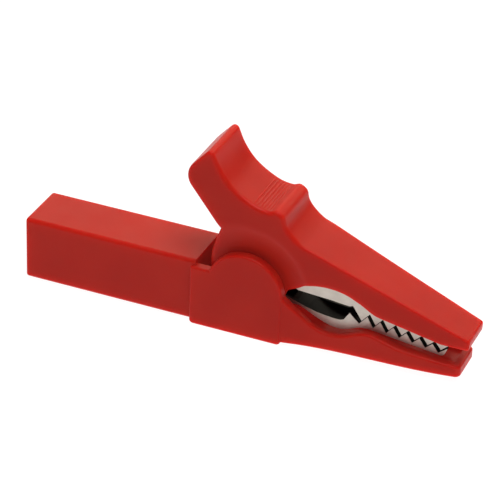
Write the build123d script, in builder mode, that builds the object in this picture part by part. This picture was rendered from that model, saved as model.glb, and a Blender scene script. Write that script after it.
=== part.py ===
"""Fully insulated crocodile clip with a 4 mm lead socket in its square handle.

X runs from the rear face of the handle to the jaw tips, Z runs up to the thumb lever, and the
origin is the centre of the socket's mouth. Side outlines are drawn as (distance forward,
height) from a datum point below that mouth, close to the handle's lower rear corner.
"""

import math
import os

from build123d import *

os.makedirs("parts", exist_ok=True)

# Datum of the side outlines, from the centre of the socket's mouth.
DATUM_X = 0.3
DATUM_DROP = 6.3

# Handle: a square tube that takes the lead's plug.
HANDLE_WIDTH = 11.9
HANDLE_HEIGHT = 13.1
HANDLE_END = 35.4
HANDLE_EDGE = 0.8
REAR_EDGE = 0.5
SHROUD_BORE_R = 4.6
SHROUD_BORE_DEPTH = 31.0

# Pivot housing: two cheeks with domed tops, joined by a floor.
PIVOT_X = 45.7
PIVOT_H = 9.1
DOME_R = 7.7
HOUSING_START = 34.7
HOUSING_HALF = 6.75
HOUSING_DROP = 0.65
LEDGE_H = 11.9
CHEEK_INNER = 4.9
HOUSING_FLOOR_H = 1.2
HOUSING_CORNER_R = 0.8
CHEEK_EDGE = 0.45

# Jaw covers, in plan: half-widths at the housing and at the nose.
COVER_REAR_X = 54.0
COVER_REAR_HALF = 6.2
COVER_MID_X = 70.0
COVER_MID_HALF = 5.25
NOSE_HALF = 4.15
LOWER_NOSE_X = 88.1
UPPER_NOSE_X = 89.5
NOSE_CORNER_R = 1.1
COVER_WALL = 1.5
COVER_EDGE = 0.45
LOWER_FLOOR_H = 2.3
LOWER_TROUGH_END = 86.6
UPPER_TROUGH_END = 85.3

# Thumb lever.
LEVER_HALF = 6.3
HUB_HALF = 4.6
HUB_R = 7.2
HUB_SLOT_HALF = 3.45
HUB_SLOT_TOP = 14.6
FLARE_START_R = 8.0
FLARE_RAMP_R = 10.3
FLARE_END_R = 13.0
TOP_SLOPE = -0.386
TOP_X = 54.9
TOP_H = 22.3

# Pressed steel jaws. The lower jaw's tooth tips lie on a sloping line, and the upper jaw's
# teeth are the same ones, moved by the bite.
SHEET = 0.6
TIP_LINE_X = 69.05
TIP_LINE_H = 7.85
TIP_SLOPE = -0.185
TOOTH_PITCH = 2.58
TOOTH_COUNT = 6
VALLEY_AFTER_TIP = 1.2
TOOTH_DEPTH = 1.9
DEPTH_LOSS = 0.1
FIRST_TIP = (65.55, 7.85)
FIRST_VALLEY = (67.5, 6.0)
BITE_SHIFT = 0.48
BITE_LIFT = 0.76
WEB_H = 5.23
EAR_R = 3.3
LOWER_EAR_HALF = 2.65
UPPER_EAR_HALF = 3.3
JAW_REAR_X = 40.0
JAW_BEND_X = 62.0
JAW_BEND_HALF = 2.75
JAW_TIP_X = 84.9
JAW_TIP_HALF = 2.3
LOWER_TIP_TOP = 5.2
UPPER_TIP_BASE = 5.75

# Pivot pin, spool and spring.
PIN_R = 1.25
PIN_FIT = 0.02
PIN_RUNNING = 0.05
PIN_HALF_LENGTH = 5.9
PIN_POCKET_HALF = 6.0
SPOOL_R = 2.2
SPOOL_HALF = 1.95
WIRE_R = 0.4
COIL_R = 2.85
COIL_PITCH = 0.9
UPPER_LEG_ANGLE = 70.0
LOWER_LEG_ANGLE = 270.0
COIL_EXTRA_TURNS = 2
UPPER_LEG = 6.9
LOWER_LEG = 6.3

# Socket, its insulating core and the terminal that holds the lower jaw's tail.
SOCKET_R = 2.0
SOCKET_OUTER_R = 2.5
SOCKET_DEPTH = 20.0
SOCKET_END = 22.0
CORE_R = 3.3
CORE_FLANGE_START = 18.0
CORE_FLANGE_R = 4.58
STUD_R = 1.5
STUD_END = 26.4
FLAG_HALF = 2.05
WASHER_R = 2.9
WASHER_THICK = 0.7
NUT_FLATS = 5.5
NUT_THICK = 2.4
TAIL_H = 2.3

SIDE = Plane((DATUM_X, 0, -DATUM_DROP), x_dir=(1, 0, 0), z_dir=(0, -1, 0))
PIVOT = Vector(PIVOT_X + DATUM_X, 0, PIVOT_H - DATUM_DROP)
PIVOT_SIDE = Plane(PIVOT, x_dir=(1, 0, 0), z_dir=(0, -1, 0))
DEEP = 40.0


def tip_line(x):
    """Height of the lower jaw's tooth tips."""
    return TIP_LINE_H + TIP_SLOPE * (x - TIP_LINE_X)


def top_line(x):
    """Height of the flat top of the upper jaw cover."""
    return TOP_H + TOP_SLOPE * (x - TOP_X)


def plan_block(stations, corner=0.0, curved=True):
    """Upright block over a plan outline that is symmetric about X.

    The stations are (distance forward, half-width), joined by a smooth curve or straight lines.
    """
    right_side = [(x, -half) for x, half in stations]
    left_side = [(x, half) for x, half in reversed(stations)]
    nose_x, nose_half = stations[-1]
    rear_x, rear_half = stations[0]
    with BuildPart() as block:
        with BuildSketch(Plane((DATUM_X, 0, -DEEP))):
            with BuildLine():
                if curved:
                    Spline(*right_side)
                    Spline(*left_side)
                else:
                    Polyline(*right_side)
                    Polyline(*left_side)
                Line((nose_x, -nose_half), (nose_x, nose_half))
                Line((rear_x, rear_half), (rear_x, -rear_half))
            make_face()
        extrude(amount=2 * DEEP)
        if corner:
            nose_edges = block.edges().filter_by(Axis.Z).group_by(Axis.X)[-1]
            fillet(nose_edges, radius=corner)
    return block.part


def side_edges(part):
    """Edges round the two faces that look out sideways."""
    return [edge for face in part.faces() if abs(face.normal_at().Y) > 0.97 for edge in face.edges()]


def lower_rim(nose_x):
    """Rim of the lower cover, from the nose back to the housing."""
    shoulder = (69.3, 5.6)
    Line((nose_x, 2.9), (77.0, 4.05))
    Spline(
        (77.0, 4.05),
        shoulder,
        (65.4, 4.1),
        (62.4, 3.75),
        (59.2, 4.85),
        (56.2, 7.1),
        (53.0, 10.0),
        tangents=[(-1.0, 0.13), (-0.7, 0.75)],
    )


def cover_stations(start, nose_x, inset=0.0):
    """Half-widths of a jaw cover, optionally inset to give its inside."""
    return [
        (start, COVER_REAR_HALF - inset),
        (COVER_REAR_X, COVER_REAR_HALF - inset),
        (COVER_MID_X, COVER_MID_HALF - inset),
        (nose_x, NOSE_HALF - inset),
    ]


def blended_cover_stations():
    """Half-widths of the lower cover's outside, which runs smoothly into the housing."""
    return [
        (HOUSING_START, HOUSING_HALF),
        (COVER_REAR_X - 2.2, HOUSING_HALF),
        (COVER_REAR_X - 0.4, HOUSING_HALF - 0.2),
        (COVER_REAR_X + 1.6, COVER_REAR_HALF),
        (COVER_MID_X, COVER_MID_HALF),
        (LOWER_NOSE_X, NOSE_HALF),
    ]


# Handle, cheeks and lower cover are one moulding.
with BuildPart() as handle:
    with BuildSketch(Plane.YZ):
        Rectangle(HANDLE_WIDTH, HANDLE_HEIGHT)
    extrude(amount=HANDLE_END + DATUM_X)
    fillet(handle.edges().filter_by(Axis.X), radius=HANDLE_EDGE)
    fillet(handle.faces().sort_by(Axis.X)[0].edges(), radius=REAR_EDGE)

dome_rise = LEDGE_H - PIVOT_H
dome_back_x = PIVOT_X - math.sqrt(DOME_R**2 - dome_rise**2)
housing_front_x = PIVOT_X + DOME_R

with BuildPart() as housing:
    with BuildSketch(SIDE):
        with BuildLine():
            FilletPolyline(
                (dome_back_x, LEDGE_H),
                (HOUSING_START, LEDGE_H),
                (HOUSING_START, -HOUSING_DROP),
                (housing_front_x, -HOUSING_DROP),
                (housing_front_x, PIVOT_H),
                radius=[0.2, HOUSING_CORNER_R, HOUSING_CORNER_R],
            )
            ThreePointArc(
                (housing_front_x, PIVOT_H),
                (PIVOT_X, PIVOT_H + DOME_R),
                (dome_back_x, LEDGE_H),
            )
        make_face()
    extrude(amount=HOUSING_HALF, both=True)
    outer_faces = housing.faces().filter_by(Axis.Y)
    fillet(outer_faces.edges(), radius=CHEEK_EDGE)

with BuildPart() as lower_cover:
    with BuildSketch(SIDE):
        with BuildLine():
            Polyline((53.0, 10.0), (50.0, 10.0), (50.0, -0.1), (LOWER_NOSE_X, 0.65), (LOWER_NOSE_X, 2.9))
            lower_rim(LOWER_NOSE_X)
        make_face()
    extrude(amount=HOUSING_HALF, both=True)
    add(plan_block(blended_cover_stations(), NOSE_CORNER_R), mode=Mode.INTERSECT)
    fillet(side_edges(lower_cover.part), radius=COVER_EDGE)

with BuildPart() as lower_trough:
    with BuildSketch(SIDE):
        with BuildLine():
            Polyline(
                (48.0, HOUSING_FLOOR_H),
                (56.0, HOUSING_FLOOR_H + 0.3),
                (60.0, LOWER_FLOOR_H - 0.4),
                (LOWER_TROUGH_END, LOWER_FLOOR_H),
                (LOWER_TROUGH_END, DEEP),
                (48.0, DEEP),
                close=True,
            )
        make_face()
    extrude(amount=HOUSING_HALF, both=True)
    add(plan_block(cover_stations(40.0, LOWER_NOSE_X, COVER_WALL)), mode=Mode.INTERSECT)

with BuildPart() as housing_slot:
    with BuildSketch(SIDE):
        with BuildLine():
            Polyline(
                (HANDLE_END, HOUSING_FLOOR_H),
                (housing_front_x + 0.6, HOUSING_FLOOR_H),
                (housing_front_x + 0.6, DEEP),
                (HANDLE_END, DEEP),
                close=True,
            )
        make_face()
    extrude(amount=CHEEK_INNER, both=True)

with BuildPart() as tail_passage:
    with BuildSketch(SIDE):
        with Locations((HANDLE_END - 2.0, 5.2)):
            Rectangle(8.0, 6.4)
    extrude(amount=FLAG_HALF + 0.4, both=True)

with BuildPart() as body_shell:
    add(handle.part)
    add(housing.part)
    add(lower_cover.part)
    add(lower_trough.part, mode=Mode.SUBTRACT)
    add(housing_slot.part, mode=Mode.SUBTRACT)
    add(tail_passage.part, mode=Mode.SUBTRACT)
    with BuildSketch(Plane.YZ):
        Circle(SHROUD_BORE_R)
    extrude(amount=SHROUD_BORE_DEPTH, mode=Mode.SUBTRACT)
    with BuildSketch(PIVOT_SIDE):
        Circle(PIN_R + PIN_FIT)
    extrude(amount=PIN_POCKET_HALF, both=True, mode=Mode.SUBTRACT)
body_shell.part.label = "body_shell"
export_step(body_shell.part, "parts/body_shell.step")

# The clearance that the cheeks need is round about the pivot, so the lever turns freely in it.
with BuildPart() as cheek_clearance:
    with BuildSketch(Plane(PIVOT)):
        with BuildLine():
            Polyline(
                (FLARE_START_R, HUB_HALF),
                (0, HUB_HALF),
                (0, 9.0),
                (18.0, 9.0),
                (18.0, LEVER_HALF + 0.4),
            )
            Spline(
                (18.0, LEVER_HALF + 0.4),
                (FLARE_END_R, LEVER_HALF - 0.15),
                (FLARE_RAMP_R, HUB_HALF + 0.22),
                (FLARE_START_R, HUB_HALF),
                tangents=[(-1, -0.02), (-1.0, -0.02)],
            )
        make_face()
    revolve(axis=Axis(PIVOT, (0, 1, 0)))
    mirror(about=Plane.XZ)


def lever_outline():
    """Side outline of the thumb lever with the upper cover."""
    FilletPolyline((40.3, 21.2), (32.35, 31.25), (36.1, 35.5), radius=3.6)
    FilletPolyline((36.1, 35.5), (38.05, 37.6), (39.2, 35.1), radius=0.9)
    Spline(
        (39.2, 35.1),
        (42.1, 30.85),
        (46.45, 28.0),
        (49.9, 27.25),
        tangents=[(0.44, -1.0), (1.0, 0.02)],
    )
    Spline(
        (49.9, 27.25),
        (51.4, 27.65),
        (52.85, 26.7),
        (53.35, 24.95),
        (54.5, 23.4),
        (57.0, top_line(57.0)),
        tangents=[(1.0, 0.02), (1.0, TOP_SLOPE)],
    )
    FilletPolyline(
        (57.0, top_line(57.0)),
        (UPPER_NOSE_X, top_line(UPPER_NOSE_X)),
        (UPPER_NOSE_X - 0.1, 6.85),
        (84.0, 7.0),
        radius=0.55,
    )
    Line((84.0, 7.0), (72.0, 9.75))
    Spline(
        (72.0, 9.75),
        (68.0, 11.95),
        (65.0, 13.3),
        (61.5, 13.8),
        (58.0, 13.3),
        (55.9, 11.8),
        (53.6, 10.45),
        tangents=[(-1.0, 0.22), (-1.0, -0.55)],
    )
    Polyline((53.6, 10.45), (52.0, 6.5), (39.4, 6.5), (38.1, 11.0))
    Spline((38.1, 11.0), (38.0, 14.0), (38.65, 16.8), (40.3, 21.2), tangents=[(-0.1, 1.0), (0.42, 1.0)])


with BuildPart() as lever_shell:
    with BuildSketch(SIDE):
        with BuildLine():
            lever_outline()
        make_face()
    extrude(amount=LEVER_HALF, both=True)
    add(plan_block(
        [(30.0, LEVER_HALF), (52.0, LEVER_HALF), (COVER_REAR_X + 2, 6.15), (COVER_MID_X, COVER_MID_HALF),
         (UPPER_NOSE_X, NOSE_HALF)],
        NOSE_CORNER_R,
    ), mode=Mode.INTERSECT)
    add(cheek_clearance.part, mode=Mode.SUBTRACT)
    with BuildSketch(PIVOT_SIDE):
        Circle(HUB_R)
    extrude(amount=HUB_HALF, both=True)

with BuildPart() as upper_cavity:
    with BuildSketch(SIDE):
        with BuildLine():
            Polyline(
                (51.5, 0.0),
                (51.5, 15.0),
                (56.0, 19.6),
                (UPPER_TROUGH_END, 8.8),
                (UPPER_TROUGH_END, 0.0),
                close=True,
            )
        make_face()
    extrude(amount=HOUSING_HALF, both=True)
    add(plan_block(
        [(40.0, HUB_SLOT_HALF), (53.5, HUB_SLOT_HALF), (57.0, 4.5),
         (COVER_MID_X, COVER_MID_HALF - COVER_WALL), (UPPER_NOSE_X, NOSE_HALF - COVER_WALL)],
        curved=False,
    ), mode=Mode.INTERSECT)

with BuildPart() as hub_slot:
    with BuildSketch(SIDE):
        with BuildLine():
            Polyline((34.0, 0.0), (34.0, HUB_SLOT_TOP), (53.0, HUB_SLOT_TOP), (53.0, 0.0), close=True)
        make_face()
    extrude(amount=HUB_SLOT_HALF, both=True)

with BuildPart() as lever_shell_whole:
    add(lever_shell.part)
    add(upper_cavity.part, mode=Mode.SUBTRACT)
    add(hub_slot.part, mode=Mode.SUBTRACT)
    with BuildSketch(PIVOT_SIDE):
        Circle(PIN_R + PIN_RUNNING)
    extrude(amount=HOUSING_HALF, both=True, mode=Mode.SUBTRACT)
lever_shell_whole.part.label = "lever_shell"
export_step(lever_shell_whole.part, "parts/lever_shell.step")


def lower_teeth():
    """Zigzag of the lower jaw's biting edge, from its first tooth to its last valley."""
    zigzag = [FIRST_TIP, FIRST_VALLEY]
    for index in range(TOOTH_COUNT):
        tip_x = TIP_LINE_X + index * TOOTH_PITCH
        valley_x = tip_x + VALLEY_AFTER_TIP
        zigzag.append((tip_x, tip_line(tip_x)))
        zigzag.append((valley_x, tip_line(valley_x) - TOOTH_DEPTH + index * DEPTH_LOSS))
    return zigzag


def upper_teeth():
    """The upper jaw's biting edge, which follows the lower one a bite's clearance away."""
    return [(x + BITE_SHIFT, h + BITE_LIFT) for x, h in lower_teeth()[1:]]


def lower_jaw_back():
    """Underside of the lower jaw, from its tip to the web beside the spring."""
    FilletPolyline((JAW_TIP_X, LOWER_TIP_TOP), (84.2, 3.35), (69.5, 5.3), radius=0.9)
    Spline(
        (69.5, 5.3),
        (67.5, 5.15),
        (65.8, 4.45),
        (63.7, 3.95),
        (61.8, 4.15),
        (59.8, 4.8),
        (57.6, 5.85),
        (55.4, 6.8),
        tangents=[(-1.0, 0.05), (-1.0, 0.35)],
    )


def jaw_plan(ear_half, ear_end):
    """Half-widths of a jaw: its ears, then the straight taper to the tip."""
    return [
        (JAW_REAR_X, ear_half),
        (ear_end, ear_half),
        (JAW_BEND_X, JAW_BEND_HALF),
        (JAW_TIP_X + 1.1, JAW_TIP_HALF),
    ]


jaw_plan_lower = jaw_plan(LOWER_EAR_HALF, 54.2)
jaw_plan_upper = jaw_plan(UPPER_EAR_HALF, 55.0)


def inset_plan(stations):
    """The same plan outline, one sheet thickness further in."""
    return [(x, half - SHEET) for x, half in stations]


with BuildPart() as lower_jaw:
    with BuildSketch(SIDE):
        with BuildLine():
            lower_jaw_back()
            Polyline((55.4, 6.8), (53.8, 6.8), (52.9, WEB_H), (PIVOT_X - 2, WEB_H), (PIVOT_X - 2, PIVOT_H))
            Polyline((PIVOT_X - 2, PIVOT_H), (PIVOT_X, 11.4), (48.6, 10.4), (52.4, 8.3), (54.4, 7.6))
            Spline((54.4, 7.6), (57.7, 6.55), (61.8, 5.9), (63.8, 5.85), tangents=[(1, -0.35), (1, 0.1)])
            Polyline((63.8, 5.85), (64.45, 6.1), *lower_teeth(), (JAW_TIP_X, LOWER_TIP_TOP))
        make_face()
    extrude(amount=HOUSING_HALF, both=True)
    with BuildSketch(PIVOT_SIDE):
        Circle(EAR_R)
    extrude(amount=HOUSING_HALF, both=True)
    add(plan_block(jaw_plan_lower, curved=False), mode=Mode.INTERSECT)

with BuildPart() as lower_jaw_inside:
    with BuildSketch(SIDE):
        with BuildLine():
            lower_jaw_back()
            Polyline((55.4, 6.8), (53.8, 6.8), (52.9, WEB_H), (PIVOT_X - EAR_R, WEB_H))
            Polyline((PIVOT_X - EAR_R, WEB_H), (PIVOT_X - EAR_R, DEEP), (JAW_TIP_X, DEEP))
            Line((JAW_TIP_X, DEEP), (JAW_TIP_X, LOWER_TIP_TOP))
        make_face()
    extrude(amount=HOUSING_HALF, both=True)
    add(plan_block(inset_plan(jaw_plan_lower), curved=False), mode=Mode.INTERSECT)

tail_path_top = TAIL_H + SHEET / 2
flag_x = SOCKET_END - DATUM_X + SHEET / 2
with BuildPart() as jaw_tail:
    with BuildSketch(SIDE):
        with BuildLine():
            FilletPolyline(
                (flag_x, 9.2),
                (flag_x, tail_path_top),
                (33.5, tail_path_top),
                (37.0, WEB_H + SHEET / 2),
                (50.0, WEB_H + SHEET / 2),
                radius=0.8,
            )
        trace(line_width=SHEET)
    extrude(amount=FLAG_HALF, both=True)
    with BuildSketch(Plane.YZ.offset(SOCKET_END - 1)):
        Circle(STUD_R + PIN_FIT)
    extrude(amount=3.0, mode=Mode.SUBTRACT)

with BuildPart() as lower_jaw_whole:
    add(lower_jaw.part)
    add(lower_jaw_inside.part.translate((0, 0, SHEET)), mode=Mode.SUBTRACT)
    add(jaw_tail.part)
    with BuildSketch(PIVOT_SIDE):
        Circle(PIN_R + PIN_FIT)
    extrude(amount=HOUSING_HALF, both=True, mode=Mode.SUBTRACT)
lower_jaw_whole.part.label = "lower_jaw"
export_step(lower_jaw_whole.part, "parts/lower_jaw.step")


def upper_jaw_back():
    """Top of the upper jaw, from its tip to the ears."""
    FilletPolyline(
        (JAW_TIP_X, UPPER_TIP_BASE),
        (84.7, 6.5),
        (69.5, 10.8),
        radius=0.3,
    )
    Spline(
        (69.5, 10.8),
        (66.0, 13.3),
        (61.5, 14.8),
        (55.0, 14.0),
        tangents=[(-1.0, 0.3), (-1.0, -0.3)],
    )


with BuildPart() as upper_jaw:
    with BuildSketch(SIDE):
        with BuildLine():
            upper_jaw_back()
            Polyline((55.0, 14.0), (PIVOT_X, 12.0), (PIVOT_X, 7.5), (52.0, 10.9), (54.6, 10.9))
            Line((54.6, 10.9), (55.3, 10.42))
            Spline((55.3, 10.42), (59.6, 9.93), (65.5, 9.28), tangents=[(1.0, -0.12), (1.0, -0.12)])
            Polyline((65.5, 9.28), (66.1, 9.6), *upper_teeth(), (JAW_TIP_X, UPPER_TIP_BASE))
        make_face()
    extrude(amount=HOUSING_HALF, both=True)
    with BuildSketch(PIVOT_SIDE):
        Circle(EAR_R)
    extrude(amount=HOUSING_HALF, both=True)
    add(plan_block(jaw_plan_upper, curved=False), mode=Mode.INTERSECT)

with BuildPart() as upper_jaw_inside:
    with BuildSketch(SIDE):
        with BuildLine():
            upper_jaw_back()
            Polyline((55.0, 14.0), (55.0, -DEEP), (JAW_TIP_X, -DEEP), (JAW_TIP_X, UPPER_TIP_BASE))
        make_face()
    extrude(amount=HOUSING_HALF, both=True)
    add(plan_block(inset_plan(jaw_plan_upper), curved=False), mode=Mode.INTERSECT)

with BuildPart() as upper_jaw_whole:
    add(upper_jaw.part)
    add(upper_jaw_inside.part.translate((0, 0, -SHEET)), mode=Mode.SUBTRACT)
    with BuildSketch(SIDE):
        with Locations((PIVOT_X + 4.7, 9.5)):
            Rectangle(16.0, 20.0)
    extrude(amount=UPPER_EAR_HALF - SHEET, both=True, mode=Mode.SUBTRACT)
    with BuildSketch(PIVOT_SIDE):
        Circle(PIN_R + PIN_RUNNING)
    extrude(amount=HOUSING_HALF, both=True, mode=Mode.SUBTRACT)
upper_jaw_whole.part.label = "upper_jaw"
export_step(upper_jaw_whole.part, "parts/upper_jaw.step")

# Pivot pin, its spool and the torsion spring.
with BuildPart() as pivot_pin:
    with BuildSketch(PIVOT_SIDE):
        Circle(PIN_R)
    extrude(amount=PIN_HALF_LENGTH, both=True)
    chamfer(pivot_pin.edges(), length=0.25)
pivot_pin.part.label = "pivot_pin"
export_step(pivot_pin.part, "parts/pivot_pin.step")

with BuildPart() as spring_spool:
    with BuildSketch(PIVOT_SIDE):
        Circle(SPOOL_R)
        Circle(PIN_R + PIN_FIT, mode=Mode.SUBTRACT)
    extrude(amount=SPOOL_HALF, both=True)
spring_spool.part.label = "spring_spool"
export_step(spring_spool.part, "parts/spring_spool.step")

coil_turns = (UPPER_LEG_ANGLE + 360 - LOWER_LEG_ANGLE) / 360 + COIL_EXTRA_TURNS
coil_length = coil_turns * COIL_PITCH
coil_start = math.radians(LOWER_LEG_ANGLE)
coil_plane = Plane(
    PIVOT + (0, coil_length / 2, 0),
    x_dir=(math.cos(coil_start), 0, math.sin(coil_start)),
    z_dir=(0, -1, 0),
)

coil = coil_plane * Helix(pitch=COIL_PITCH, height=coil_length, radius=COIL_R)
lower_end = coil @ 0 - (coil % 0) * LOWER_LEG
upper_end = coil @ 1 + (coil % 1) * UPPER_LEG

with BuildPart() as torsion_spring:
    with BuildLine() as wire_path:
        Line(lower_end, coil @ 0)
        add(coil)
        Line(coil @ 1, upper_end)
    with BuildSketch(Plane(lower_end, z_dir=coil % 0)):
        Circle(WIRE_R)
    sweep(path=wire_path.wires()[0])
torsion_spring.part.label = "torsion_spring"
export_step(torsion_spring.part, "parts/torsion_spring.step")

# Socket tube with a threaded stud, its insulating core, and the terminal's washer and nut.
with BuildPart() as socket_tube:
    with BuildSketch(Plane.YZ):
        Circle(SOCKET_OUTER_R)
    extrude(amount=SOCKET_END)
    with BuildSketch(Plane.YZ):
        Circle(STUD_R)
    extrude(amount=STUD_END)
    with BuildSketch(Plane.YZ):
        Circle(SOCKET_R)
    extrude(amount=SOCKET_DEPTH, mode=Mode.SUBTRACT)
    stud_tip = socket_tube.edges().filter_by(GeomType.CIRCLE).sort_by(Axis.X)[-1]
    chamfer(stud_tip, length=0.3)
socket_tube.part.label = "socket_tube"
export_step(socket_tube.part, "parts/socket_tube.step")

with BuildPart() as socket_core:
    with BuildSketch(Plane.YZ):
        Circle(CORE_R)
    extrude(amount=CORE_FLANGE_START)
    with BuildSketch(Plane.YZ.offset(CORE_FLANGE_START)):
        Circle(CORE_FLANGE_R)
    extrude(amount=SOCKET_END - CORE_FLANGE_START)
    with BuildSketch(Plane.YZ):
        Circle(SOCKET_OUTER_R + PIN_FIT)
    extrude(amount=SOCKET_END, mode=Mode.SUBTRACT)
    rear_rim = socket_core.edges().filter_by(GeomType.CIRCLE).group_by(Axis.X)[0].sort_by(SortBy.LENGTH)[-1]
    fillet(rear_rim, radius=0.3)
socket_core.part.label = "socket_core"
export_step(socket_core.part, "parts/socket_core.step")

washer_x = SOCKET_END + SHEET
with BuildPart() as lock_washer:
    with BuildSketch(Plane.YZ.offset(washer_x)):
        Circle(WASHER_R)
        Circle(STUD_R + PIN_FIT, mode=Mode.SUBTRACT)
    extrude(amount=WASHER_THICK)
lock_washer.part.label = "lock_washer"
export_step(lock_washer.part, "parts/lock_washer.step")

with BuildPart() as terminal_nut:
    with BuildSketch(Plane.YZ.offset(washer_x + WASHER_THICK)):
        RegularPolygon(NUT_FLATS / 2, 6, major_radius=False)
        Circle(STUD_R + PIN_FIT, mode=Mode.SUBTRACT)
    extrude(amount=NUT_THICK)
terminal_nut.part.label = "terminal_nut"
export_step(terminal_nut.part, "parts/terminal_nut.step")
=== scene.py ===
import math

import bmesh
import bpy
from mathutils import Matrix, Vector
from mathutils.geometry import delaunay_2d_cdt


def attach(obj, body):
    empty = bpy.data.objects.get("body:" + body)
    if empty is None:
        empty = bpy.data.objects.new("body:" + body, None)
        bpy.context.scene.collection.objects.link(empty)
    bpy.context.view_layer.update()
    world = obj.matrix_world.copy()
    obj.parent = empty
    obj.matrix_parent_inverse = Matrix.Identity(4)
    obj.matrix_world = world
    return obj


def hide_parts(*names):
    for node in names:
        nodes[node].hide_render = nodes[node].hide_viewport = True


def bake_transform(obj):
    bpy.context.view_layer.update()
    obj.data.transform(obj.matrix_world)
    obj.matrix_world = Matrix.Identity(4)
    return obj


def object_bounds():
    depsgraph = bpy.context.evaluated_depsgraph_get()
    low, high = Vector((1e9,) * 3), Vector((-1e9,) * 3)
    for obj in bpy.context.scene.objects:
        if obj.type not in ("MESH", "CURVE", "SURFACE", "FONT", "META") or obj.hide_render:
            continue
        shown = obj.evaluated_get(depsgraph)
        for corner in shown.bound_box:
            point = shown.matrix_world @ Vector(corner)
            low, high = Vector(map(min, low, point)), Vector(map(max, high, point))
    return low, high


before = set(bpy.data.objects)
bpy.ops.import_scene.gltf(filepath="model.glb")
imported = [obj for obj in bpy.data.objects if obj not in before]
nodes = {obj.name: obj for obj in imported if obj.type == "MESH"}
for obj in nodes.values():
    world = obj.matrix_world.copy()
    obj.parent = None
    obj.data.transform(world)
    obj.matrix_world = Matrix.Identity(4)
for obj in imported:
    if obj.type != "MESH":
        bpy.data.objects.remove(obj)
cad_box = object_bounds()

MM = 0.001
# Side outlines are drawn as (distance forward, height) in millimetres from this datum.
DATUM = Vector((0.3, 0.0, -6.3))
PIVOT = Vector((45.7, 9.1))


def in_frame(point, y=0.0):
    """The place in the frame, in metres, of a side outline's point at the given y."""
    return (Vector((point[0], y, point[1])) + DATUM) * MM


def add_object(name, data):
    made = bpy.data.objects.new(name, data)
    bpy.context.collection.objects.link(made)
    return made


# ---------------------------------------------------------------- camera and light

# The photo's camera has a long lens. Angles are in degrees and lengths in millimetres. The aim is
# the middle of the picture, from the datum to the right and up along the picture's own axes.
AZIMUTH, ELEVATION, ROLL = 21.55, 30.95, 2.43
AIM_RIGHT, AIM_UP = 41.097, 2.252
CAMERA_DISTANCE = 490.16
LENS, SENSOR = 179.28, 36

# The middle of the clip, which both lights look at; lengths here are in metres.
LIT_POINT = Vector((0.045, 0, 0.008))
FLOOR_SIZE = 4
FLOOR_GREY = 0.1
FLOOR_GLOW = 0.97
WORLD_LIGHT = 0.14


def fitted_camera():
    """The camera at the photo's angle."""
    azimuth, elevation, roll = math.radians(AZIMUTH), math.radians(ELEVATION), math.radians(ROLL)
    right = Vector((math.cos(azimuth), math.sin(azimuth), 0))
    forward = Vector((-math.sin(azimuth), math.cos(azimuth), 0))
    back = -math.cos(elevation) * forward + Vector((0, 0, math.sin(elevation)))
    up = back.cross(right)
    cam_right = math.cos(roll) * right + math.sin(roll) * up
    cam_up = -math.sin(roll) * right + math.cos(roll) * up
    data = bpy.data.cameras.new("photo_camera")
    data.sensor_width = SENSOR
    data.lens = LENS
    data.clip_start = 0.01
    camera = add_object("photo_camera", data)
    pose = Matrix((cam_right, cam_up, back)).transposed().to_4x4()
    pose.translation = (AIM_RIGHT * cam_right + AIM_UP * cam_up + CAMERA_DISTANCE * back + DATUM) * MM
    camera.matrix_world = pose
    bpy.context.scene.camera = camera


def area_light(name, place, size, power, color=(1, 1, 1)):
    """A soft box that looks at the middle of the clip; place is relative to it."""
    data = bpy.data.lights.new(name, "AREA")
    data.shape = "RECTANGLE"
    data.size, data.size_y = size
    data.energy = power
    data.color = color
    light = add_object(name, data)
    light.location = LIT_POINT + Vector(place)
    light.rotation_euler = (-Vector(place)).to_track_quat("-Z", "Y").to_euler()


def lit_floor():
    """A table that glows nearly white, so that shadows on it are faint."""
    bpy.ops.mesh.primitive_plane_add(size=FLOOR_SIZE, location=(0, 0, cad_box[0][2]))
    floor = bpy.context.object
    floor.name = "floor"
    s = Shader("lit_table")
    s.give({
        "Base Color": (FLOOR_GREY, FLOOR_GREY, FLOOR_GREY, 1),
        "Roughness": 0.9,
        "Emission Color": (1, 1, 1, 1),
        "Emission Strength": FLOOR_GLOW,
    })
    floor.data.materials.append(s.mat)


def studio():
    area_light("overhead", place=(0.10, -0.02, 0.6), size=(0.45, 0.45), power=3.7)
    area_light("back", place=(-0.1, 0.56, 0.38), size=(1.1, 0.4), power=2.4, color=(1.0, 0.96, 0.78))
    world = bpy.data.worlds.new("studio")
    world.use_nodes = True
    background = world.node_tree.nodes["Background"]
    background.inputs["Color"].default_value = (1, 1, 1, 1)
    background.inputs["Strength"].default_value = WORLD_LIGHT
    bpy.context.scene.world = world
    bpy.context.scene.view_settings.view_transform = "Standard"
    lit_floor()


# ---------------------------------------------------------------- materials

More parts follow.
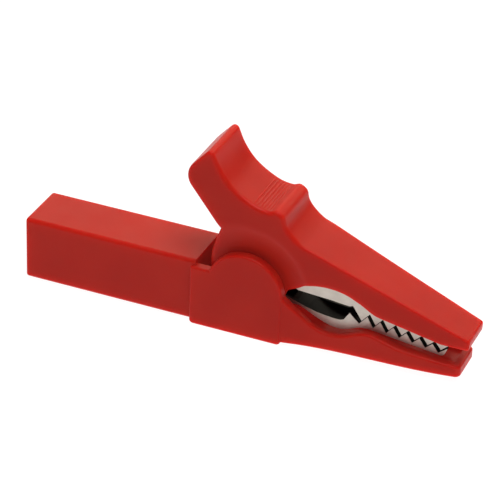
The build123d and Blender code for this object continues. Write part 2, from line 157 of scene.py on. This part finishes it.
class Shader:
    """A node material built up one node at a time."""

    def __init__(self, name):
        self.mat = bpy.data.materials.new(name)
        self.mat.use_nodes = True
        self.tree = self.mat.node_tree
        self.bsdf = self.tree.nodes["Principled BSDF"]

    def give(self, values):
        """Sets fixed inputs of the surface shader."""
        for key, value in values.items():
            self.bsdf.inputs[key].default_value = value

    def node(self, kind, **values):
        made = self.tree.nodes.new(kind)
        for key, value in values.items():
            if key in made.inputs:
                made.inputs[key].default_value = value
            else:
                setattr(made, key, value)
        return made

    def link(self, source, target):
        self.tree.links.new(source, target)

    def object_place(self):
        return self.node("ShaderNodeTexCoord").outputs["Object"]

    def noise(self, scale, detail=3.0, roughness=0.5, stretch=(1, 1, 1)):
        """Noise in object space; scale is in features per metre."""
        mapping = self.node("ShaderNodeMapping", Scale=stretch)
        self.link(self.object_place(), mapping.inputs["Vector"])
        noise = self.node("ShaderNodeTexNoise", Scale=scale, Detail=detail, Roughness=roughness)
        self.link(mapping.outputs["Vector"], noise.inputs["Vector"])
        return noise.outputs["Fac"]

    def ramp(self, source, low, high, start=0.0, end=1.0):
        """Maps source from start..end to low..high."""
        made = self.node("ShaderNodeMapRange", clamp=True)
        settings = {"From Min": start, "From Max": end, "To Min": low, "To Max": high}
        for key, value in settings.items():
            made.inputs[key].default_value = value
        self.link(source, made.inputs["Value"])
        return made.outputs["Result"]

    def mix(self, factor, first, second):
        """Colour mix; factor is a socket, and first and second are RGB triples or sockets."""
        made = self.node("ShaderNodeMix", data_type="RGBA")
        self.link(factor, made.inputs[0])
        for socket, value in ((made.inputs[6], first), (made.inputs[7], second)):
            if isinstance(value, tuple):
                socket.default_value = (*value, 1)
            else:
                self.link(value, socket)
        return made.outputs[2]

    def compute(self, operation, *sources):
        made = self.node("ShaderNodeMath", operation=operation)
        for source, target in zip(sources, made.inputs):
            self.link(source, target)
        return made.outputs[0]

    def bump(self, source, strength, distance, under=None):
        """Surface normal raised by source; distance is in metres."""
        made = self.node("ShaderNodeBump", Strength=strength, Distance=distance)
        self.link(source, made.inputs["Height"])
        if under is not None:
            self.link(under, made.inputs["Normal"])
        return made.outputs["Normal"]


def red_plastic():
    """Deep red moulded vinyl. Its faint even glow is painted light, standing for light scattered in thin
    places.
    """
    s = Shader("red_plastic")
    broad = s.noise(90.0, detail=2.0)
    fine = s.noise(1500.0, detail=4.0, roughness=0.6)
    shade_of_red = s.ramp(broad, 0.0, 1.0, start=0.35, end=0.65)
    s.link(s.mix(shade_of_red, (0.39, 0.0085, 0.003), (0.42, 0.011, 0.004)), s.bsdf.inputs["Base Color"])
    s.link(s.ramp(s.noise(260.0), 0.30, 0.40, start=0.3, end=0.7), s.bsdf.inputs["Roughness"])
    s.give({
        "IOR": 1.46,
        "Specular IOR Level": 0.12,
        # Painted light: an even red emission that lifts the plastic's shade.
        "Emission Color": (0.06, 0.0045, 0.0035, 1),
        "Emission Strength": 1.0,
        "Subsurface Weight": 1.0,
        "Subsurface Radius": (1.0, 0.10, 0.06),
        "Subsurface Scale": 0.005,
    })
    grain = s.bump(fine, strength=0.05, distance=0.04 * MM)
    s.link(s.bump(broad, strength=0.12, distance=0.6 * MM, under=grain), s.bsdf.inputs["Normal"])
    return s.mat


def rolled_metal(s, color, dulling, roughness):
    """Plate colour and roughness with a faint rolled grain along X and a few dull patches."""
    grain = s.noise(2600.0, detail=4.0, roughness=0.6, stretch=(0.12, 1, 1))
    patches = s.noise(420.0)
    dull = tuple(dulling * channel for channel in color)
    plate = s.mix(s.ramp(patches, 0.0, 1.0, start=0.4, end=0.75), color, dull)
    shine = s.ramp(grain, roughness - 0.07, roughness + 0.12, start=0.3, end=0.7)
    s.link(s.bump(grain, strength=0.10, distance=0.03 * MM), s.bsdf.inputs["Normal"])
    return plate, shine


def plated_metal(name, color, roughness):
    s = Shader(name)
    s.give({"Metallic": 1.0})
    plate, shine = rolled_metal(s, color, 0.78, roughness)
    s.link(plate, s.bsdf.inputs["Base Color"])
    s.link(shine, s.bsdf.inputs["Roughness"])
    return s.mat


# The jaws' outer faces in plan: station and half-width at the rear and at the tips.
JAW_REAR, JAW_REAR_HALF = 62.3, 2.75
JAW_TIP, JAW_TIP_HALF = 86.3, 2.3
# The plate gives way to painted shade between these depths below the outer face.
PLATE_END, DARK_START = 0.06, 0.14
JAW_NICKEL = (0.70, 0.65, 0.575)
# Colour of the painted shade on the blanked edges and inside the channel.
JAW_PAINTED_SHADE = (0.006, 0.0045, 0.004)


def jaw_metal(name):
    """Nickel plate outside; the blanked edges and the inside of the channel are dull, and painted shade
    makes them dark.
    """
    s = Shader(name)
    s.give({"Metallic": 0.5})
    plate, shine = rolled_metal(s, JAW_NICKEL, 0.85, 0.42)
    place = s.node("ShaderNodeSeparateXYZ")
    s.link(s.object_place(), place.inputs["Vector"])
    off_centre = s.compute("ABSOLUTE", place.outputs["Y"])
    outer = s.ramp(place.outputs["X"], JAW_REAR_HALF * MM, JAW_TIP_HALF * MM, JAW_REAR * MM, JAW_TIP * MM)
    depth = s.compute("SUBTRACT", outer, off_centre)
    # Painted shade: faces set in from the outer plan are mixed to a near-black colour, where the channel's
    # inside lies in shadow.
    painted_shade = s.ramp(depth, 0.0, 1.0, start=PLATE_END * MM, end=DARK_START * MM)
    s.link(s.mix(painted_shade, plate, JAW_PAINTED_SHADE), s.bsdf.inputs["Base Color"])
    s.link(s.compute("MAXIMUM", shine, s.ramp(painted_shade, 0.0, 0.7)), s.bsdf.inputs["Roughness"])
    return s.mat


def plain_plastic(name, color, roughness):
    s = Shader(name)
    patches = s.noise(700.0)
    paler = tuple(min(1.0, 1.25 * channel + 0.01) for channel in color)
    s.link(s.mix(s.ramp(patches, 0.0, 1.0, start=0.35, end=0.7), color, paler), s.bsdf.inputs["Base Color"])
    s.give({"Roughness": roughness})
    s.link(s.bump(s.noise(5200.0), strength=0.15, distance=0.03 * MM), s.bsdf.inputs["Normal"])
    return s.mat


# ---------------------------------------------------------------- outlines

CURVE_STEPS = 14


def curve_points(start, end, start_slope, end_slope):
    """Points of a cubic from start to end, without the last; the slopes are tangent vectors."""
    made = []
    for step in range(CURVE_STEPS):
        t = step / CURVE_STEPS
        a, b = (1 + 2 * t) * (1 - t) ** 2, t * (1 - t) ** 2
        c, d = t * t * (3 - 2 * t), t * t * (t - 1)
        made.append(tuple(
            a * start[axis] + b * start_slope[axis] + c * end[axis] + d * end_slope[axis] for axis in (0, 1)
        ))
    return made


def through(points, first_slope, last_slope):
    """Points of a smooth curve through the given ones, without the last."""
    slopes = [first_slope]
    for before, after in zip(points, points[2:]):
        slopes.append(tuple((after[axis] - before[axis]) / 2 for axis in (0, 1)))
    slopes.append(last_slope)
    made = []
    for start, end, leave, arrive in zip(points, points[1:], slopes, slopes[1:]):
        made += curve_points(start, end, leave, arrive)
    return made


def rounded(corners, radius, count=10):
    """Points of a run of straight lines with rounded corners, without its last point."""
    made = [corners[0]]
    for before, corner, after in zip(corners, corners[1:], corners[2:]):
        corner = Vector(corner)
        inward = (Vector(before) - corner).normalized()
        outward = (Vector(after) - corner).normalized()
        half = inward.angle(outward) / 2
        reach = radius / math.tan(half)
        centre = corner + (inward + outward).normalized() * (radius / math.sin(half))
        start, end = corner + inward * reach - centre, corner + outward * reach - centre
        turn = start.angle_signed(end)
        for step in range(count + 1):
            angle = -turn * step / count
            spun = Vector((start.x * math.cos(angle) - start.y * math.sin(angle),
                           start.x * math.sin(angle) + start.y * math.cos(angle)))
            made.append(tuple(centre + spun))
    return made


def resample(points, gap_at):
    """The closed outline at even gaps; gap_at(point) gives the gap wanted there."""
    made = [Vector(points[0])]
    left = gap_at(points[0])
    for start, end in zip(points, points[1:] + points[:1]):
        start, end = Vector(start), Vector(end)
        run = (end - start).length
        if run < 1e-6:
            continue
        place = 0.0
        while run - place > left:
            place += left
            made.append(start.lerp(end, place / run))
            left = gap_at(made[-1])
        left -= run - place
    if (made[-1] - made[0]).length < 0.5 * gap_at(made[0]):
        made.pop()
    return made


def distance_to(point, outline):
    """Distance to the closed outline, and the index of its nearest vertex."""
    best, nearest = 1e9, 0
    px, py = point
    for index, vertex in enumerate(outline):
        d = (vertex.x - px) ** 2 + (vertex.y - py) ** 2
        if d < best:
            best, nearest = d, index
    count = len(outline)
    shortest = 1e9
    for index in (nearest - 1, nearest):
        a, b = outline[index % count], outline[(index + 1) % count]
        run = b - a
        t = max(0.0, min(1.0, (Vector(point) - a).dot(run) / max(run.length_squared, 1e-12)))
        shortest = min(shortest, (a + run * t - Vector(point)).length)
    return shortest, nearest


def inside(point, outline):
    x, y = point
    hit = False
    for a, b in zip(outline, outline[1:] + outline[:1]):
        if (a.y > y) != (b.y > y) and x < (b.x - a.x) * (y - a.y) / (b.y - a.y) + a.x:
            hit = not hit
    return hit


def smooth_min(a, b, soft):
    h = max(0.0, min(1.0, 0.5 + 0.5 * (b - a) / soft))
    return b * (1 - h) + a * h - soft * h * (1 - h)


def smooth_step(value, start, end):
    t = max(0.0, min(1.0, (value - start) / (end - start)))
    return t * t * (3 - 2 * t)


def between(value, table):
    """Looks value up in a table of (station, width), in straight lines between the stations."""
    for (x0, w0), (x1, w1) in zip(table, table[1:]):
        if value <= x1:
            return w0 + (w1 - w0) * (value - x0) / (x1 - x0)
    return table[-1][1]


# ---------------------------------------------------------------- the thumb lever

TOP_H, TOP_X, TOP_SLOPE = 22.3, 54.9, -0.386


def on_top(x):
    """Point of the straight top edge, which runs down to the nose."""
    return x, TOP_H + TOP_SLOPE * (x - TOP_X)


HEEL = (40.3, 21.2)
THUMB_CREST = (36.1, 35.5)
THUMB_LIP = (39.2, 35.1)
SADDLE_END = (49.9, 27.25)
TOP_START = on_top(57.0)
NOSE_TOP = on_top(89.5)
NOSE_BOTTOM = (89.4, 6.85)
SKIRT_FRONT = (84.0, 7.0)
SKIRT_REAR = (53.6, 10.45)

# Each run of the outline with the radius that its side edges are rounded to. It runs clockwise.
LEVER_RUNS = [
    (rounded([HEEL, (32.35, 31.25), THUMB_CREST], 3.6, 20), 0.6),
    (rounded([THUMB_CREST, (38.05, 37.6), THUMB_LIP], 0.9, 12), 0.6),
    (through([THUMB_LIP, (42.1, 30.85), (46.45, 28.0), SADDLE_END], (1.8, -4.2), (3.0, 0.06)), 0.8),
    (through(
        [SADDLE_END, (51.4, 27.65), (52.85, 26.7), (53.35, 24.95), (54.5, 23.4), TOP_START],
        (1.4, 0.03), (2.2, 2.2 * TOP_SLOPE),
    ), 0.8),
    (rounded([TOP_START, NOSE_TOP, NOSE_BOTTOM, SKIRT_FRONT], 0.55), 0.4),
    ([SKIRT_FRONT], 0.4),
    (through(
        [(72.0, 9.75), (68.0, 11.95), (65.0, 13.3), (61.5, 13.8), (58.0, 13.3), (55.9, 11.8), SKIRT_REAR],
        (-4.0, 0.9), (-2.2, -1.2),
    ), 0.45),
    ([SKIRT_REAR, (52.0, 6.5), (39.4, 6.5)], 0.45),
    (through([(38.1, 11.0), (38.0, 14.0), (38.65, 16.8), HEEL], (-0.3, 3.0), (1.9, 4.5)), 0.6),
]

# The lever's plan, and the narrow part round the pivot that works between the cheeks. From there
# it steps out a little, then a cove leads to the full width; both go by distance from the pivot.
LEVER_PLAN = [(30.0, 6.3), (53.0, 6.3), (56.5, 6.15), (70.0, 5.27), (89.5, 4.15)]
NARROW_HALF = 4.6
STEP_OUT, STEP_START, STEP_END = 0.22, 8.0, 10.3
COVE_OUT, COVE_START, COVE_END = 2.1, 9.0, 16.5
PLAN_BLEND = 0.35

# Fine grip ribs across the thumb pad, above THUMB_PAD_LOW; they stop short of the side edges.
RIB_FIRST, RIB_PITCH, RIBS, RIB_HEIGHT = 46.6, 0.62, 6, 0.12
THUMB_PAD_LOW = 24
RIB_SHARPNESS = 0.8
RIB_FADE_START, RIB_FADE_END = 0.88, 0.96

# The mesh: gaps along the rim, finer from RIB_LEAD before the ribs; the rings inside it, as (share
# of the edge radius, every so many points); the even filling; and the steps across the rim's width,
# as shares of the half-width.
RIM_GAP, RIB_GAP, RIB_LEAD = 0.3, 0.09, 0.6
RINGS = ((0.03, 1), (0.12, 1), (0.27, 1), (0.47, 2), (0.72, 2), (1.0, 2))
RING_CLEARANCE = 0.93
FILL_GAP, FILL_CLEARANCE = 0.75, 0.3
ROW_SHARE = 0.866
RIM_SHARES = (-0.985, -0.95, -0.9, -0.6, -0.3, 0, 0.3, 0.6, 0.9, 0.95, 0.985)
EDGE_WINDOW = 6

# What is cut out of it: the cavity for the upper jaw, the slot over the hub and the pin's bore.
TROUGH_END = 85.3
SLOT_HALF = 3.45
CAVITY = [(51.5, 0.0), (51.5, 15.0), (53.5, 17.0), (56.0, 19.6), (62.0, 17.2), (70.0, 14.2),
          (78.0, 11.4), (TROUGH_END, 8.8), (TROUGH_END, 0.0)]
CAVITY_PLAN = [(51.5, SLOT_HALF), (53.5, SLOT_HALF), (57.0, 4.5), (70.0, 3.75), (TROUGH_END, 2.9)]
SLOT = [(34.0, 0.0), (34.0, 14.6), (53.0, 14.6), (53.0, 0.0)]
BORE_RADIUS, BORE_SIDES, BORE_HALF = 1.3, 32, 8.0
SHARP_ANGLE = 38


def lever_half(point):
    """Half-width before the edges are rounded: narrow beside the cheeks, and a cove from there."""
    r = (Vector(point) - PIVOT).length
    cove = (NARROW_HALF + STEP_OUT * smooth_step(r, STEP_START, STEP_END)
            + COVE_OUT * smooth_step(r, COVE_START, COVE_END))
    return smooth_min(between(point[0], LEVER_PLAN), cove, PLAN_BLEND)


def rib_height(point, share):
    """Height of the grip ribs at a rim point; share is the place across the lever's half-width."""
    place = (point[0] - RIB_FIRST) / RIB_PITCH
    if point[1] < THUMB_PAD_LOW or place < -0.5 or place > RIBS - 0.5:
        return 0.0
    wave = max(0.0, math.cos(2 * math.pi * place)) ** RIB_SHARPNESS
    return RIB_HEIGHT * wave * (1 - smooth_step(abs(share), RIB_FADE_START, RIB_FADE_END))


def rim_gap(point):
    """The gap wanted between the rim's points: finer at the ribs."""
    along_ribs = RIB_FIRST - RIB_LEAD < point[0] < RIB_FIRST + RIBS * RIB_PITCH
    return RIB_GAP if along_ribs and point[1] > THUMB_PAD_LOW else RIM_GAP


def lever_rim():
    """The lever's outline at even gaps, with the edge radius and inward direction of each point."""
    points, radii = [], []
    for run, radius in LEVER_RUNS:
        points += [Vector(point) for point in run]
        radii += [radius] * len(run)
    outline = resample(points, rim_gap)
    count = len(outline)
    raw = []
    for place in outline:
        nearest = min(range(len(points)), key=lambda index: (points[index] - place).length_squared)
        raw.append(radii[nearest])
    edge, inward = [], []
    for index in range(count):
        window = [raw[(index + step) % count] for step in range(-EDGE_WINDOW, EDGE_WINDOW + 1)]
        edge.append(sum(window) / len(window))
        along = (outline[(index + 1) % count] - outline[index - 1]).normalized()
        inward.append(Vector((along.y, -along.x)))
    return outline, edge, inward


def side_points(outline, edge, inward):
    """Points of a side face: the outline, rings inside it, then a filling of even triangles.

    Each has its distance to the outline and the index of the outline's point nearest to it.
    """
    flat = [place.copy() for place in outline]
    depth = [(0.0, index) for index in range(len(outline))]
    for share, every in RINGS:
        for index in range(0, len(outline), every):
            inset = share * edge[index]
            place = outline[index] + inward[index] * inset
            d, nearest = distance_to(place, outline)
            if d > RING_CLEARANCE * inset and inside(place, outline):
                flat.append(place)
                depth.append((d, nearest))
    low_x, high_x = min(p.x for p in outline), max(p.x for p in outline)
    low_y, high_y = min(p.y for p in outline), max(p.y for p in outline)
    row = 0
    y = low_y
    while y < high_y:
        x = low_x + (FILL_GAP / 2 if row % 2 else 0)
        while x < high_x:
            d, nearest = distance_to((x, y), outline)
            if d > edge[nearest] + FILL_CLEARANCE * FILL_GAP and inside((x, y), outline):
                flat.append(Vector((x, y)))
                depth.append((d, nearest))
            x += FILL_GAP
        y += FILL_GAP * ROW_SHARE
        row += 1
    return flat, depth


def lever_slab():
    """The solid lever: a half-width that varies over its outline, rounded side edges and ribs."""
    outline, edge, inward = lever_rim()
    flat, depth = side_points(outline, edge, inward)
    count = len(outline)
    ring = [(index, (index + 1) % count) for index in range(count)]
    verts, _, faces, origins, _, _ = delaunay_2d_cdt(flat, ring, [], 1, 1e-6)
    assert len(verts) == len(flat), "the outline crosses itself"
    source = [origin[0] for origin in origins]

    halves = []
    for index in source:
        d, nearest = depth[index]
        radius = edge[nearest]
        drop = radius - math.sqrt(max(0.0, radius ** 2 - (radius - min(d, radius)) ** 2))
        halves.append(lever_half(flat[index]) - drop)

    mesh = bmesh.new()
    left = [mesh.verts.new(in_frame(place, half)) for place, half in zip(verts, halves)]
    right = [mesh.verts.new(in_frame(place, -half)) for place, half in zip(verts, halves)]
    for face in faces:
        mesh.faces.new([right[index] for index in face])
        mesh.faces.new([left[index] for index in reversed(face)])
    at_rim = {origin: index for index, origin in enumerate(source) if origin < count}
    columns = []
    for index in range(count):
        vertex = at_rim[index]
        column = [right[vertex]]
        for share in RIM_SHARES:
            place = outline[index] - inward[index] * rib_height(outline[index], share)
            column.append(mesh.verts.new(in_frame(place, share * halves[vertex])))
        columns.append(column + [left[vertex]])
    for a, b in zip(columns, columns[1:] + columns[:1]):
        for step in range(len(a) - 1):
            mesh.faces.new((a[step], a[step + 1], b[step + 1], b[step]))
    return finished("thumb_lever", mesh)


def finished(name, mesh):
    """Turns a closed bmesh into an object, with its faces outwards."""
    bmesh.ops.recalc_face_normals(mesh, faces=mesh.faces)
    made = bpy.data.meshes.new(name)
    mesh.to_mesh(made)
    mesh.free()
    return add_object(name, made)


def prism(name, outline, half_at):
    """Closed block over a side outline, to cut with; half_at(x) is its half-width."""
    mesh = bmesh.new()
    sides = []
    for sign in (-1, 1):
        sides.append([mesh.verts.new(in_frame(point, sign * half_at(point[0]))) for point in outline])
        mesh.faces.new(sides[-1])
    for index in range(len(outline)):
        after = (index + 1) % len(outline)
        mesh.faces.new((sides[0][index], sides[0][after], sides[1][after], sides[1][index]))
    bmesh.ops.triangulate(mesh, faces=mesh.faces)
    return finished(name, mesh)


def cut(obj, cutters):
    """Takes the cutters out of obj and removes them."""
    bpy.context.view_layer.objects.active = obj
    for cutter in cutters:
        modifier = obj.modifiers.new("cut", "BOOLEAN")
        modifier.object = cutter
        modifier.operation = "DIFFERENCE"
        modifier.solver = "EXACT"
        bpy.ops.object.modifier_apply(modifier=modifier.name)
        bpy.data.objects.remove(cutter)


def shade(obj, angle):
    """Smooth shading, apart from edges sharper than the angle in degrees."""
    for polygon in obj.data.polygons:
        polygon.use_smooth = True
    obj.data.set_sharp_from_angle(angle=math.radians(angle))


def lever(material):
    shell = lever_slab()
    cavity = prism("cavity", CAVITY, lambda x: between(x, CAVITY_PLAN))
    slot = prism("slot", SLOT, lambda x: SLOT_HALF)
    bore_outline = []
    for side in range(BORE_SIDES):
        angle = 2 * math.pi * side / BORE_SIDES
        spoke = BORE_RADIUS * Vector((math.cos(angle), math.sin(angle)))
        bore_outline.append(PIVOT + spoke)
    bore = prism("bore", bore_outline, lambda x: BORE_HALF)
    cut(shell, [cavity, slot, bore])
    shade(shell, SHARP_ANGLE)
    shell.data.materials.clear()
    shell.data.materials.append(material)
    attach(shell, "lever")
    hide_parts("lever_shell")


def spring():
    """A copy of the spring's mesh stands in for its part, which is hidden."""
    cad = nodes["torsion_spring"]
    mesh = cad.data.copy()
    mesh.transform(cad.matrix_world)
    wire = add_object("spring_wire", mesh)
    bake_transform(wire)
    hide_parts("torsion_spring")


# ---------------------------------------------------------------- the scene

fitted_camera()
studio()

red = red_plastic()
finishes = {
    "body_shell": red,
    "lever_shell": red,
    "lower_jaw": jaw_metal("lower_jaw_nickel"),
    "upper_jaw": jaw_metal("upper_jaw_nickel"),
    "pivot_pin": plated_metal("pin_steel", (0.55, 0.55, 0.55), 0.3),
    "spring_spool": plain_plastic("spool_plastic", (0.70, 0.66, 0.58), 0.5),
    "torsion_spring": plated_metal("spring_steel", (0.42, 0.42, 0.43), 0.3),
    "socket_tube": plated_metal("socket_brass", (0.85, 0.62, 0.26), 0.22),
    "socket_core": plain_plastic("core_plastic", (0.02, 0.02, 0.02), 0.5),
    "lock_washer": plated_metal("washer_zinc", (0.66, 0.66, 0.64), 0.35),
    "terminal_nut": plated_metal("nut_zinc", (0.70, 0.69, 0.66), 0.3),
}
for name, node in nodes.items():
    node.data.materials.clear()
    node.data.materials.append(finishes[name])
lever(red)
spring()
